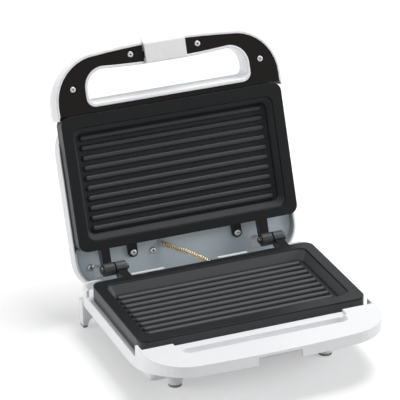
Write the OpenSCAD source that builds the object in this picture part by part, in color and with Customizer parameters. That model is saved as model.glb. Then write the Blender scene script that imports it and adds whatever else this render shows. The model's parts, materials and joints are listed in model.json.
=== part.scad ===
// Two-slice sandwich toaster, stored with its lid open.
// Origin: on the table, under the middle of the whole outline.
// +X to the right, +Y to the back, +Z up, millimetres.
// Most modules are written from the hinge axis: y is negative in front of it, z is height over it.

/* [Cooking plates] */
// Width of each cooking plate
plate_w = 227; // [215:1:229]
// Depth of each cooking plate, front to back
plate_d = 130; // [122:1:136]
// Height of each cooking plate
plate_h = 15; // [14:0.5:16]
// Corner radius of the plates
plate_corner = 9; // [5:0.5:12]
// Width of the flat rim at the sides of the pan
rim_side = 10.5; // [8:0.5:13]
// Width of the flat rim in front of the pan
rim_front = 12; // [9:0.5:14]
// Width of the flat rim behind the pan
rim_back = 9; // [7:0.5:11]
// Depth of the pan
pan_depth = 12; // [10:0.5:12.5]
// How far the side walls of the pan slope in
slope_side = 5; // [3:0.5:7]
// How far the front and back walls of the pan slope in
slope_front = 7; // [4:0.5:8]
// Number of ribs in each pan
rib_count = 10; // [6:1:10]
// Distance from rib to rib
rib_pitch = 9.7; // [8:0.1:9.8]
// Radius of a rib
rib_r = 3; // [2:0.1:3.4]
// Length of a rib
rib_len = 190; // [160:1:192]
// Wall of the plate castings
cast_wall = 3; // [2:0.5:3.5]
// Gap between the two rims when the lid is closed
seam = 0.4; // [0.2:0.1:0.8]

/* [Hinge] */
// Height of the hinge axis over the table
hinge_h = 57; // [54:1:62]
// Distance from the hinge axis to the plates
hinge_setback = 20; // [18:0.5:22]
// Angle between the lid and the base in the stored pose
open_angle = 110; // [105:1:112]
// Diameter of the hinge knuckles
knuckle_d = 12.6; // [11:0.2:13.4]
// Width of a hinge knuckle
knuckle_w = 10.6; // [8:0.2:11.4]
// Side gap between two knuckles
knuckle_gap = 1.4; // [0.6:0.1:2]
// Distance from the middle of the toaster to the middle of a knuckle pair
knuckle_x = 82; // [78:1:84]
// Diameter of the hinge pins
pin_d = 5; // [4:0.25:6]
// Radial clearance of a pin in its bore
pin_clear = 0.05; // [0.02:0.01:0.09]

/* [Base] */
// Width of the base and of the lid
body_w = 235; // [234:1:240]
// Clearance in front of the lower plate
lip_gap = 7.5; // [5:0.5:9]
// Depth of the front lip, from its inner edge to its front
lip_d = 51.5; // [50:0.5:54]
// How far the front edge bows out in the middle
front_bow = 2.5; // [1:0.5:4]
// Radius of the two front corners of the base
base_corner = 42; // [34:1:46]
// Wall of the plastic shells
wall = 2.5; // [2:0.1:2.6]
// Drop of the lip's top below the hinge axis
lip_drop = 3.5; // [3.2:0.1:4.5]
// Height of the side skirt below the rails
skirt_h = 13.3; // [11:0.5:15]
// Height by which the skirt's bottom edge rises to the front
skirt_rise = 14; // [10:0.5:15]
// Half the width of the finger recess in the lip
recess_half = 84.5; // [70:0.5:88]
// Depth of the step in front of the plate
ledge_d = 9.5; // [8:0.5:11]
// Width of the finger groove
groove_w = 13; // [11:0.5:15]
// Width of the latch notch under the lip
notch_w = 43; // [43:0.5:48]
// Drop of the bottom cover below the hinge axis
case_drop = 42; // [40:0.5:44]
// Inset of the case under the side skirts
case_inset = 12.5; // [11.5:0.5:14]
// Distance from the hinge axis to the front feet
foot_f = 139; // [120:1:140]
// Distance from the middle of the toaster to a front foot
foot_x = 76; // [60:1:84]
// Thickness of the rubber pads under the feet
pad_h = 2.5; // [2:0.5:3.5]
// Width of a rear leg
leg_w = 5; // [4:0.5:7]
// Height of the arch between the rear legs, over their pads
arch_r = 7.5; // [5:0.5:9]

/* [Lid] */
// Height of the closed lid over the hinge axis
lid_h = 35.8; // [34.5:0.1:38]
// Thickness of the handle
handle_h = 21; // [20:0.5:22]
// Height over the hinge axis at which the lid's side walls start
lid_rim = 14.2; // [13.8:0.1:14.6]
// How far the lid's back edge lies behind the hinge axis
lid_back = 20; // [19:0.5:21]
// How far the sides of the lid swell out over their lower edge
bulge = 2.5; // [1:0.25:2.6]
// Radius of the two front corners of the lid
lid_corner = 48; // [42:1:52]
// Half the width of the handle's hole, with its white rim
hole_half = 84.5; // [76:0.5:86]
// Distance from the plate to the hole's white rim
strip_d = 5.5; // [5:0.5:6.5]
// Depth of the handle bar in front of the hole
bar_d = 18.7; // [18.5:0.1:19.5]
// Width of the white rim round the hole
hole_rim = 2.5; // [2:0.1:3]
// How far the near wall of the hole slopes forward
hole_slope = 4.6; // [2:0.2:6]
// Thickness of the dark handle panel
panel_t = 2; // [1.6:0.1:2.2]
// How deep the dark panel lies below its white rim
panel_sunk = 0.5; // [0.2:0.1:0.9]
// Thickness of the pale lid floor
floor_t = 2; // [1.5:0.1:2.4]

/* [Latch] */
// Width of the latch clip
latch_w = 42; // [36:1:42]
// Thickness of the clip's web
latch_t = 2.6; // [2:0.1:2.7]
// Distance from the clip's pin to the inside of its web
latch_reach = 5.2; // [5:0.1:5.4]
// Distance from the clip's pin to the inside of its hook
latch_hook = 11.5; // [11.3:0.1:11.8]
// Thickness of the hook
hook_t = 4.5; // [3.5:0.1:4.6]
// Diameter of the clip's pin
latch_pin_d = 3; // [2.4:0.1:3.4]

/* [Heaters] */
// Diameter of the heating tube
heater_d = 6.5; // [6:0.25:7]
// Distance between the two runs of the heating tube
heater_span = 57; // [50:1:60]
// Distance from a plate's back to its reflector
reflector_gap = 12; // [11.6:0.1:12.4]
// Thickness of the reflector sheet
reflector_t = 0.8; // [0.5:0.1:1]

/* [Spring conduit] */
// Outer diameter of the spring
spring_d = 5; // [4.6:0.1:5.2]
// Diameter of its wire
wire_d = 0.9; // [0.7:0.05:0.95]
// Number of curls
curl_count = 30; // [24:1:32]
// Diameter of a lead in the spring
lead_d = 1.2; // [1:0.05:1.3]

/* [Supply] */
// Diameter of the cord that the gland takes
cord_d = 6.6; // [6:0.1:7]
// Distance from the middle of the toaster to the gland
gland_x = 60; // [50:1:66]
// Diameter of the pilot lenses
lens_d = 10; // [8:0.5:11]

/* [Hidden] */
clear = 0.3;
touch = 0.05;
thin = 0.01;
far = 400;

plate_front = hinge_setback + plate_d;
plate_half = plate_w / 2;
plate_top = -seam / 2;
rail_z = plate_top - plate_h;
pan_mid = (hinge_setback + rim_back + plate_front - rim_front) / 2;
pan_half_x = plate_half - rim_side;
pan_half_f = (plate_d - rim_back - rim_front) / 2;

body_half = body_w / 2;
lip_in = plate_front + lip_gap;
base_front = lip_in + lip_d;
base_back = -1;
base_back_corner = 10;
ledge_z = -lip_drop - 2.5;
groove_f0 = lip_in + ledge_d;
groove_f1 = groove_f0 + groove_w;
groove_z = -13;
deck_z = rail_z - wall;
skirt_z = rail_z - skirt_h;
sweep_f = 130;
sweep_d = 70;
case_half = body_half - case_inset;
case_in = case_half - wall;
cover_t = 2;
cover_z = -case_drop + cover_t;
back_wall_z = -8;
back_corner_f = 19;
wall_gaps = [[-94.5, -66], [-32, 24], [55, 96.5]];
stop_x = 50;
stop_w = 10;
stop_z0 = -27;
stop_z1 = -20;
boss_r = 4;
pilot_r = 1.25;

handle_front = base_front + 0.2;
handle_bow = front_bow + 0.9;
handle_f0 = plate_front - 3;
hole_f0 = plate_front + strip_d;
hole_f1 = handle_front - bar_d;
hole_bow = 2.5;
hole_corner = 20;
panel_z = seam / 2 + panel_sunk;
floor_z = lid_rim + 7.8;
lug_x = 54.5;
lug_f = 9.5;
lug_t = 3;
lug_r = 4.8;
arm_w = 8.4;
arm_t = 9.5;
latch_half = latch_w / 2;
bay_half = latch_half + 1;
latch_f = handle_front - 4.7;
latch_z = seam / 2 + 4.3;
bay_r = norm([latch_reach + latch_t, 3]) + 0.5;
panel_screws = [[96.5, plate_front + 25], [34.5, handle_front - 9.9]];
floor_screws = [[-98.6, 1.8], [-33.4, 7.2]];
roof_z = lid_h - wall - 2;
stop_post = [60, plate_front - 12];
plate_screw = [plate_half - 13.6, hinge_setback + 13.5];
reflector_post = [88, pan_mid - 39.5];
cover_boss = [case_in - 4.5, 14, plate_front - 7];

stand_z = skirt_z - clear;
stand_t = 5;
stand_back = base_back + stand_t + touch;
leg_f = 9;
leg_x = body_half - 1.9;
stud_f = -4;
gland_z = -34.8;
stand_screw_x = 40;
clamp_post_x = 9;
clamp_post_f = 15;
gland_r = cord_d / 2 + 1.9;
lens_x = 13;
lens_f = 122;
lens_neck = wall + 0.3;
lamp_r = 1.4;
holder_z = lid_h - 7.2;

heater_x0 = -80;
heater_x1 = 50;
heater_z = heater_d / 2 + 0.1;
clamp_xs = [-45, 35];

// The lid's farthest reach behind the hinge axis, which centres the whole outline
function back_reach(f, z) = z * sin(open_angle) - f * cos(open_angle);
lid_reach = back_reach(handle_front - 4.2, handle_h);
hinge_y = (base_front - lid_reach) / 2;
stop_y = back_reach(-lid_back, lid_rim) - clear;

// Spring route: two ends, each with the direction that it leaves in
spring_low = [15, -11, -12.2];
spring_low_dir = [0, 0, 1];
bush_lid = [-23, -12.3, floor_z - 1.6];
spring_end_z = bush_lid[2] - 2 * touch;
spring_top = [bush_lid[0], back_reach(-bush_lid[1], spring_end_z),
              -bush_lid[1] * sin(open_angle) + spring_end_z * cos(open_angle)];
spring_top_dir = [0, -sin(open_angle), -cos(open_angle)];
spring_pull = 8;
bush_low_z = spring_low[2];

// Points of an arc about c, from angle a to angle b
function arc(c, r, a, b, n = 10) =
  [for (i = [0 : n]) c + r * [cos(a + (b - a) * i / n), sin(a + (b - a) * i / n)]];

// Outline seen from above: straight sides, round corners and a front edge that bows out
function outline(half, corner, front, bow, back, back_corner) =
  let (side = half - corner, reach = front - bow)
  concat(
    arc([half - back_corner, back - back_corner], back_corner, 0, 90),
    arc([back_corner - half, back - back_corner], back_corner, 90, 180),
    arc([-side, corner - reach], corner, 180, 270),
    [for (i = [-4 : 4]) [side * i / 5, bow * pow(i / 5, 2) - front]],
    arc([side, corner - reach], corner, 270, 360)
  );

function rounded(half, f0, f1, r) = outline(half, r, f1, 0, -f0, r);

function rounded_slot(x, half, f0, f1) = [for (p = rounded(half, f0, f1, 2)) p + [x, 0]];

function base_outline(t) =
  outline(body_half - t, base_corner - t, base_front - t, front_bow, base_back - t,
          base_back_corner - t);

// Frames of reference
module hinge_frame() {
  translate([0, hinge_y, hinge_h]) children();
}

module lid_frame() {
  hinge_frame() rotate([-open_angle, 0, 0]) children();
}

// The back of a plate: z counts away from the food
module below_plate() {
  hinge_frame() translate([0, 0, rail_z]) mirror([0, 0, 1]) children();
}

module above_plate() {
  lid_frame() translate([0, 0, -rail_z]) children();
}

module both_sides() {
  children();
  mirror([1, 0, 0]) children();
}

// Basic solids, placed by their distance f in front of the hinge axis
module slab(points, z0, z1) {
  translate([0, 0, z0]) linear_extrude(z1 - z0) polygon(points);
}

module block(x0, x1, f0, f1, z0, z1) {
  translate([x0, -f1, z0]) cube([x1 - x0, f1 - f0, z1 - z0]);
}

module post(x, f, z0, z1, r) {
  translate([x, -f, z0]) cylinder(r = r, h = z1 - z0, $fn = 48);
}

module rod_x(x0, x1, r) {
  translate([x0, 0, 0]) rotate([0, 90, 0]) cylinder(r = r, h = x1 - x0, $fn = 48);
}

// Cross-head screw that points down the z axis, with its head above z = 0
module screw(length, head_r, head_h, shank_r = pilot_r - touch) {
  difference() {
    union() {
      translate([0, 0, -length]) cylinder(r = shank_r, h = length + thin, $fn = 24);
      cylinder(r1 = head_r, r2 = head_r * 0.8, h = head_h, $fn = 32);
    }
    for (turn = [0, 90]) rotate([0, 0, turn])
      translate([-head_r * 0.6, -0.35, head_h - 0.9]) cube([head_r * 1.2, 0.7, 2]);
  }
}

// Tube of many sides along a list of points
function unit(v) = v / norm(v);

function tube_points(path, r, sides) =
  [for (i = [0 : len(path) - 1])
    let (ahead = path[min(i + 1, len(path) - 1)] - path[max(i - 1, 0)],
         t = unit(ahead),
         seed = abs(t[0]) > 0.9 ? [0, 1, 0] : [1, 0, 0],
         u = unit(seed - (seed * t) * t),
         v = cross(t, u))
    for (k = [0 : sides - 1])
      path[i] + r * (cos(360 * k / sides) * u + sin(360 * k / sides) * v)];

function tube_faces(rings, sides) = concat(
  [[for (k = [0 : sides - 1]) k]],
  [for (i = [0 : rings - 2]) for (k = [0 : sides - 1])
    let (a = i * sides + k, b = i * sides + (k + 1) % sides)
    each [[a, a + sides, b], [b, a + sides, b + sides]]],
  [[for (k = [0 : sides - 1]) rings * sides - 1 - k]]
);

module tube(path, r, sides = 8) {
  polyhedron(tube_points(path, r, sides), tube_faces(len(path), sides));
}

// Points of a smooth curve through four control points
function bezier(a, b, c, d, t) =
  pow(1 - t, 3) * a + 3 * pow(1 - t, 2) * t * b + 3 * (1 - t) * t * t * c + pow(t, 3) * d;

function route(t) = bezier(spring_low, spring_low + spring_pull * spring_low_dir,
                           spring_top + spring_pull * spring_top_dir, spring_top, t);

// Table that turns a length along the route into the curve's own parameter
route_n = 60;
route_points = [for (i = [0 : route_n]) route(i / route_n)];
function running(i) = i == 0 ? [0] :
  let (before = running(i - 1)) concat(before, before[i - 1] + norm(route_points[i] - route_points[i - 1]));
route_run = running(route_n);
route_table = [for (i = [0 : route_n]) [route_run[i], i / route_n]];
route_len = route_run[route_n];

function route_at(s) = route(lookup(s, route_table));
function route_dir(s) = unit(route_at(min(s + 0.05, route_len)) - route_at(max(s - 0.05, 0)));

// Point at radius r and a given angle round the route
function round_route(s, r, angle) =
  let (t = route_dir(s), u = unit([1, 0, 0] - t[0] * t), v = cross(t, u))
  route_at(s) + r * (cos(angle) * u + sin(angle) * v);

spring_r = (spring_d - wire_d) / 2;
rings_per_curl = 8;
end_run = 1.6 * wire_d;
coil_len = route_len - 2 * end_run;
coil_rings = curl_count * rings_per_curl;
spring_path = concat(
  [round_route(0, spring_r, 0), round_route(end_run * 0.6, spring_r, 0)],
  [for (i = [0 : coil_rings])
    round_route(end_run + coil_len * i / coil_rings, spring_r, 360 * i / rings_per_curl)],
  [round_route(route_len - end_run * 0.6, spring_r, 360 * curl_count),
   round_route(route_len, spring_r, 360 * curl_count)]
);

// Least distance between the wire and the next curl, less the wire itself
self_gap = min([for (i = [2 : coil_rings - 2])
  for (j = [i + 5 : min(i + 11, coil_rings + 2)]) norm(spring_path[i] - spring_path[j])]) - wire_d;
echo(spring_length = route_len, spring_self_gap = self_gap);

// Cooking plate, food side down, back at z = height; arm_x is where its two hinge arms are
module plate_casting(arms, with_lugs, with_pilots) {
  post_f = reflector_post[1];
  difference() {
    union() {
      difference() {
        slab(rounded(plate_half, hinge_setback, plate_front, plate_corner), 0, plate_h);
        hull() {
          slab(rounded(pan_half_x, pan_mid - pan_half_f, pan_mid + pan_half_f, 8), -1, 0);
          slab(rounded(pan_half_x - slope_side, pan_mid - pan_half_f + slope_front,
                       pan_mid + pan_half_f - slope_front, 6), pan_depth - thin, pan_depth);
        }
        difference() {
          slab(rounded(plate_half - cast_wall, hinge_setback + cast_wall, plate_front - cast_wall,
                       plate_corner - cast_wall), cast_wall, plate_h + 1);
          slab(rounded(pan_half_x + cast_wall, pan_mid - pan_half_f - cast_wall,
                       pan_mid + pan_half_f + cast_wall, 9), cast_wall - 1, plate_h + 2);
        }
      }
      for (i = [0 : rib_count - 1])
        translate([0, -pan_mid + rib_pitch * (i - (rib_count - 1) / 2), pan_depth]) rib();
      for (x = arms) translate([x, 0, -seam / 2]) hinge_arm();
      for (x = [-1, 1]) for (f = [post_f, 2 * pan_mid - post_f])
        post(x * reflector_post[0], f, plate_h - 0.5, plate_h + reflector_gap, 3.5);
      if (with_lugs) both_sides() screw_lug();
    }
    for (x = arms) translate([x, 0, -seam / 2])
      rod_x(-knuckle_w, knuckle_w, pin_d / 2 + pin_clear);
    for (x = [-1, 1]) for (f = [post_f, 2 * pan_mid - post_f])
      post(x * reflector_post[0], f, plate_h + reflector_gap - 7, plate_h + reflector_gap + 1, pilot_r);
    if (with_pilots) plate_screw_places() post(0, 0, plate_h - 7, plate_h + 1, pilot_r);
    if (with_lugs) for (x = [-1, 1])
      post(x * lug_x, lug_f, lug_z() - 1, lug_z() + lug_t + 1, pilot_r + 0.3);
  }
}

module rib() {
  half = rib_len / 2 - rib_r;
  intersection() {
    union() {
      rod_x(-half, half, rib_r);
      for (x = [-half, half]) translate([x, 0, 0]) sphere(r = rib_r, $fn = 32);
    }
    translate([-rib_len, -2 * rib_r, -2 * rib_r]) cube([2 * rib_len, 4 * rib_r, 2 * rib_r + 1]);
  }
}

// Arm from the plate's back edge to its knuckle, which stands out in front of the arm
module hinge_arm() {
  rod_x(-knuckle_w / 2, knuckle_w / 2, knuckle_d / 2);
  rotate([90, 0, 90]) translate([0, 0, -arm_w / 2]) linear_extrude(arm_w) polygon([
    [0.5 - hinge_setback - cast_wall, seam / 2], [0, seam / 2], [4.5, 1.5], [4.5, 4], [1, arm_t - 1],
    [-3, arm_t], [0.5 - hinge_setback - cast_wall, arm_t + 2]]);
}

// Height of a lug's front face over the plate's rim
function lug_z() = floor_z - seam / 2 - lug_t - 0.1;

// Tab that screws the plate to the lid, on a web that rises from the plate's back edge
module screw_lug() {
  web_f = hinge_setback + cast_wall - 1;
  post(lug_x, lug_f, lug_z(), lug_z() + lug_t, lug_r);
  block(lug_x - lug_r, lug_x + lug_r, lug_f, web_f, lug_z(), lug_z() + lug_t);
  block(lug_x - lug_r, lug_x + lug_r, web_f - 2.5, web_f, plate_h - 4, lug_z() + lug_t);
}

module plate_screw_places() {
  for (x = [-1, 1]) for (f = [plate_screw[1], 2 * pan_mid - plate_screw[1]])
    translate([x * plate_screw[0], -f, 0]) children();
}

lower_arms = [-knuckle_x + (knuckle_w + knuckle_gap) / 2, knuckle_x + (knuckle_w + knuckle_gap) / 2];
upper_arms = [-knuckle_x - (knuckle_w + knuckle_gap) / 2, knuckle_x - (knuckle_w + knuckle_gap) / 2];

module lower_plate() {
  color([0.13, 0.13, 0.14]) hinge_frame() mirror([0, 0, 1]) translate([0, 0, seam / 2])
    plate_casting(lower_arms, false, true);
}

module upper_plate() {
  color([0.13, 0.13, 0.14]) lid_frame() translate([0, 0, seam / 2])
    plate_casting(upper_arms, true, false);
}

// Everything behind a plate, measured from its back
module heater() {
  r = heater_d / 2;
  half = heater_span / 2;
  for (side = [-1, 1]) translate([0, side * half - pan_mid, heater_z]) {
    rod_x(heater_x0, heater_x1, r);
    rod_x(heater_x0 - 5, heater_x0 + 1, r - 1);
    rod_x(heater_x0 - 12, heater_x0, 1.2);
  }
  translate([heater_x1, -pan_mid, heater_z]) rotate([0, 0, -90])
    rotate_extrude(angle = 180, $fn = 72) translate([half, 0]) circle(r = r, $fn = 32);
}

module heater_clamp_places() {
  for (x = clamp_xs) for (side = [-1, 1])
    translate([x, side * heater_span / 2 - pan_mid, 0]) children();
}

module heater_clamps() {
  r = heater_d / 2;
  top = heater_z + r + 0.1;
  heater_clamp_places() difference() {
    translate([-6, -10, touch]) cube([12, 20, top + 1.5 - touch]);
    translate([-7, -r - 0.1, -1]) cube([14, heater_d + 0.2, top + 1]);
    for (side = [-1, 1]) translate([0, side * 6.8, -1]) cylinder(r = 1.3, h = far, $fn = 24);
  }
}

module clamp_screws() {
  heater_clamp_places() for (side = [-1, 1])
    translate([0, side * 6.8, heater_z + heater_d / 2 + 1.6 + touch])
      screw(heater_z + heater_d / 2 + 1.6, 2.3, 1.6, 1.2);
}

module reflector_screw_places() {
  for (x = [-1, 1]) for (f = [reflector_post[1], 2 * pan_mid - reflector_post[1]])
    translate([x * reflector_post[0], -f, 0]) children();
}

module reflector() {
  z = reflector_gap + touch;
  half_f = pan_half_f - 5;
  half_x = case_in - 2.5;
  difference() {
    union() {
      slab(rounded(half_x, pan_mid - half_f, pan_mid + half_f, 5), z, z + reflector_t);
      difference() {
        slab(rounded(half_x, pan_mid - half_f, pan_mid + half_f, 5), z - 3, z + thin);
        slab(rounded(half_x - reflector_t, pan_mid - half_f + reflector_t,
                     pan_mid + half_f - reflector_t, 5 - reflector_t), z - 4, z + 1);
      }
    }
    reflector_screw_places() translate([0, 0, z - 1]) cylinder(r = pilot_r + 0.2, h = 5, $fn = 24);
  }
}

module reflector_screws() {
  reflector_screw_places() translate([0, 0, reflector_gap + reflector_t + 2 * touch])
    screw(6.5, 3, 1.8);
}

module lower_heater() {
  color([0.45, 0.44, 0.42]) below_plate() heater();
}

module upper_heater() {
  color([0.45, 0.44, 0.42]) above_plate() heater();
}

module lower_heater_clamps() {
  color([0.72, 0.72, 0.72]) below_plate() heater_clamps();
}

module upper_heater_clamps() {
  color([0.72, 0.72, 0.72]) above_plate() heater_clamps();
}

module lower_clamp_screws() {
  color([0.6, 0.6, 0.6]) below_plate() clamp_screws();
}

module upper_clamp_screws() {
  color([0.6, 0.6, 0.6]) above_plate() clamp_screws();
}

module lower_reflector() {
  color([0.8, 0.8, 0.82]) below_plate() reflector();
}

module upper_reflector() {
  color([0.8, 0.8, 0.82]) above_plate() reflector();
}

module lower_reflector_screws() {
  color([0.6, 0.6, 0.6]) below_plate() reflector_screws();
}

module upper_reflector_screws() {
  color([0.6, 0.6, 0.6]) above_plate() reflector_screws();
}

// Disc thermostat, pressed against the back of the lower plate
module thermostat() {
  color([0.75, 0.73, 0.68]) below_plate() translate([0, -pan_mid, touch]) {
    cylinder(r = 8.5, h = 6, $fn = 48);
    translate([-14, -5, 0]) cube([28, 10, 1.2]);
    for (x = [-3.5, 3.5]) translate([x - 1.5, -0.4, 5]) cube([3, 0.8, 4.5]);
  }
}

// Tubular fuse in its sleeve, on the back of the upper plate
module thermal_fuse() {
  color([0.86, 0.82, 0.7]) above_plate() translate([0, -pan_mid, 2.4]) {
    rod_x(-9, 9, 2.3);
    rod_x(-15, 15, 0.5);
  }
}

module lower_plate_screws() {
  color([0.6, 0.6, 0.6]) below_plate() plate_screw_places()
    translate([0, 0, wall + touch]) screw(wall + 6, 2.5, 1.8);
}

// Base shell: side rails, skirt, front lip with finger recess and notch, case walls
module base_shell() {
  color([0.94, 0.94, 0.94]) hinge_frame() difference() {
    union() {
      difference() {
        slab(base_outline(0), skirt_z, -lip_drop);
        slab(base_outline(wall), skirt_z - 1, 0);
        rotate([90, 0, 90]) translate([0, 0, -far]) linear_extrude(2 * far) polygon(skirt_sweep());
      }
      intersection() {
        slab(base_outline(thin), -far, far);
        union() {
          block(-far, far, 0, lip_in + wall, deck_z, rail_z);
          block(-far, far, lip_in, far, -lip_drop - wall, -lip_drop);
          block(-far, far, lip_in, lip_in + wall, deck_z, -lip_drop);
          block(-bay_half, 0, lip_in + 30, far, -lip_drop - wall - 0.3, -lip_drop - 1);
        }
      }
      slab(rounded(recess_half + wall, lip_in, groove_f0 + 1, 3), ledge_z - wall, -lip_drop - 1);
      slab(rounded(recess_half, groove_f0 - wall, groove_f1 + wall, 8), groove_z - wall, -lip_drop - 1);
      difference() {
        slab(rounded(case_half, -base_back, plate_front, 6), -case_drop + cover_t, deck_z + 1);
        slab(rounded(case_in, wall - base_back, plate_front - wall, 4), -case_drop, deck_z);
      }
      for (x = [-1, 1]) for (f = [cover_boss[1], cover_boss[2]])
        post(x * cover_boss[0], f, cover_z + touch, deck_z + 1, boss_r);
      both_sides() block(stop_x - stop_w / 2, stop_x + stop_w / 2, -stop_y, wall, stop_z0, stop_z1);
    }
    slab(rounded(case_in - 7.5, pan_mid - pan_half_f + 9.5, pan_mid + pan_half_f - 9.5, 6), -30, 0);
    block(-far, far, back_corner_f, handle_f0, rail_z, 1);
    block(-far, far, -far, back_corner_f + 1, back_wall_z, 1);
    slab(rounded(plate_half - 5.5, handle_f0 - 20, lip_in, 6), rail_z, 1);
    slab(rounded(recess_half, lip_in - 8, groove_f0 + 2, 3), ledge_z, 1);
    slab(rounded(recess_half - wall, groove_f0, groove_f1, 6.4), groove_z, 1);
    for (gap = wall_gaps) block(gap[0], gap[1], -far, 8, rail_z, 1);
    block(-notch_w / 2, notch_w / 2, base_front - front_bow - wall - 2, far, -30, -lip_drop - wall - 0.3);
    post(spring_low[0], -spring_low[1], -30, 1, 3.05 + touch);
    plate_screw_places() post(0, 0, -30, 0, pilot_r + 0.3);
    for (x = [-1, 1]) for (f = [cover_boss[1], cover_boss[2]])
      post(x * cover_boss[0], f, cover_z - 1, cover_z + 9, pilot_r);
    translate([-gland_x, 0, gland_z]) rotate([90, 0, 0])
      cylinder(r = gland_r + touch, h = 20, center = true, $fn = 48);
    for (x = [-1, 1]) translate([x * stand_screw_x, 0, gland_z]) rotate([90, 0, 0])
      cylinder(r = pilot_r, h = 20, center = true, $fn = 24);
  }
}

// The lower edge of the skirt rises to the front in a smooth sweep
function skirt_sweep() = concat(
  [[far, skirt_z - 1], [far, -far], [-far, -far], [-far, skirt_z + skirt_rise]],
  [for (i = [0 : 14])
    let (t = 1 - i / 14)
    [-sweep_f - sweep_d * t, skirt_z + skirt_rise * t * t * (3 - 2 * t) - (i == 14 ? 1 : 0)]]
);

// Bottom cover, with the pillars of the front feet
module base_cover() {
  color([0.92, 0.92, 0.92]) hinge_frame() difference() {
    union() {
      slab(rounded(case_half, -base_back, plate_front, 6), -case_drop, cover_z - touch);
      difference() {
        slab(rounded(case_in - clear, wall + clear - base_back, plate_front - wall - clear, 4),
             cover_z - 1, cover_z + 2.5);
        slab(rounded(case_in - clear - 1.5, wall + clear + 1.5 - base_back,
                     plate_front - wall - clear - 1.5, 3), cover_z - 2, cover_z + 4);
        for (x = [-1, 1]) for (f = [cover_boss[1], cover_boss[2]])
          post(x * cover_boss[0], f, cover_z - touch, cover_z + 5, boss_r + 1.6);
        block(-gland_x - 7, -gland_x + 7, 0, 9, cover_z - touch, cover_z + 5);
      }
      for (x = [-foot_x, foot_x]) translate([x, -foot_f, -hinge_h + pad_h])
        cylinder(r1 = 6.6, r2 = 8.5, h = hinge_h - pad_h - case_drop + thin, $fn = 48);
      for (x = [-1, 1]) post(x * clamp_post_x - gland_x, clamp_post_f, cover_z - 1, gland_z + 2.5, 3);
      block(28, 62, 9, 25, cover_z - 1, cover_z + 1);
    }
    for (x = [-1, 1]) for (f = [cover_boss[1], cover_boss[2]]) {
      post(x * cover_boss[0], f, -case_drop - 1, cover_z + 1, pilot_r + 0.3);
    }
    for (x = [-1, 1]) post(x * clamp_post_x - gland_x, clamp_post_f, cover_z + 1, gland_z + 4, pilot_r);
    for (x = [-foot_x, foot_x]) post(x, foot_f, -hinge_h + pad_h - 1, -hinge_h + pad_h + 5, 2.5 + touch);
  }
}

module base_cover_screws() {
  color([0.6, 0.6, 0.6]) hinge_frame()
    for (x = [-1, 1]) for (f = [cover_boss[1], cover_boss[2]])
      translate([x * cover_boss[0], -f, -case_drop - touch]) mirror([0, 0, 1]) screw(cover_t + 8, 2.9, 1.8);
}

// Rubber pads of the front feet, each with a stud up into its pillar
module front_foot_pads() {
  color([0.3, 0.3, 0.31]) hinge_frame() for (x = [-foot_x, foot_x]) {
    post(x, foot_f, -hinge_h, -hinge_h + pad_h - touch, 6.4);
    post(x, foot_f, -hinge_h + pad_h - 1, -hinge_h + pad_h + 4.5, 2.5);
  }
}

// Rear stand: two legs and an arched web behind the case
module rear_stand() {
  color([0.88, 0.88, 0.88]) hinge_frame() difference() {
    union() {
      translate([0, stand_back, 0]) rotate([90, 0, 0]) linear_extrude(stand_t) polygon(stand_face());
      both_sides() block(leg_x - leg_w, leg_x, -leg_f, stand_t - stand_back, -hinge_h + pad_h, stand_z);
    }
    translate([-gland_x, 0, gland_z]) rotate([90, 0, 0])
      cylinder(r = gland_r + touch, h = 40, center = true, $fn = 48);
    for (x = [-1, 1]) translate([x * stand_screw_x, 0, gland_z]) rotate([90, 0, 0])
      cylinder(r = pilot_r + 0.3, h = 40, center = true, $fn = 24);
    both_sides() post(leg_x - leg_w / 2, stud_f, -hinge_h + pad_h - 1, -hinge_h + pad_h + 5, 1.25 + touch);
  }
}

function stand_face() =
  let (inner = leg_x - leg_w - arch_r, low = pad_h - hinge_h)
  concat(
    [[leg_x, stand_z], [-leg_x, stand_z], [-leg_x, low]],
    arc([-inner, low], arch_r, 180, 90),
    arc([inner, low], arch_r, 90, 0),
    [[leg_x, low]]
  );

module stand_screws() {
  color([0.6, 0.6, 0.6]) hinge_frame() for (x = [-1, 1])
    translate([x * stand_screw_x, stand_back + touch, gland_z]) rotate([-90, 0, 0]) screw(stand_t + wall, 3, 1.8);
}

module rear_foot_pads() {
  color([0.3, 0.3, 0.31]) hinge_frame() both_sides() {
    block(leg_x - leg_w + 0.4, leg_x - 0.4, 0.6 - leg_f, 0.4, -hinge_h, -hinge_h + pad_h - touch);
    post(leg_x - leg_w / 2, stud_f, -hinge_h + pad_h - 1, -hinge_h + pad_h + 4.5, 1.25);
  }
}

// Hinge pins, each with a head outside its pair of knuckles
module hinge_pins() {
  reach = knuckle_w + knuckle_gap / 2;
  color([0.6, 0.6, 0.62]) hinge_frame() both_sides() translate([knuckle_x, 0, 0]) difference() {
    union() {
      rod_x(-reach - 3, reach + 0.5, pin_d / 2);
      rod_x(reach + 0.3, reach + 2.3, pin_d / 2 + 1.3);
    }
    difference() {
      rod_x(-reach - 1.3, -reach - 0.4, pin_d);
      rod_x(-reach - 2, -reach, pin_d / 2 - 0.6);
    }
  }
}

// Open rings that sit in the grooves of the hinge pins
module hinge_clips() {
  reach = knuckle_w + knuckle_gap / 2;
  color([0.35, 0.35, 0.36]) hinge_frame() both_sides() translate([knuckle_x, 0, 0]) difference() {
    rod_x(-reach - 1.2, -reach - 0.5, pin_d / 2 + 1.6);
    rod_x(-reach - 2, -reach, pin_d / 2 - 0.6 + touch);
    translate([-reach - 2, -far, -1.2]) cube([4, far, 2.4]);
  }
}

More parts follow.
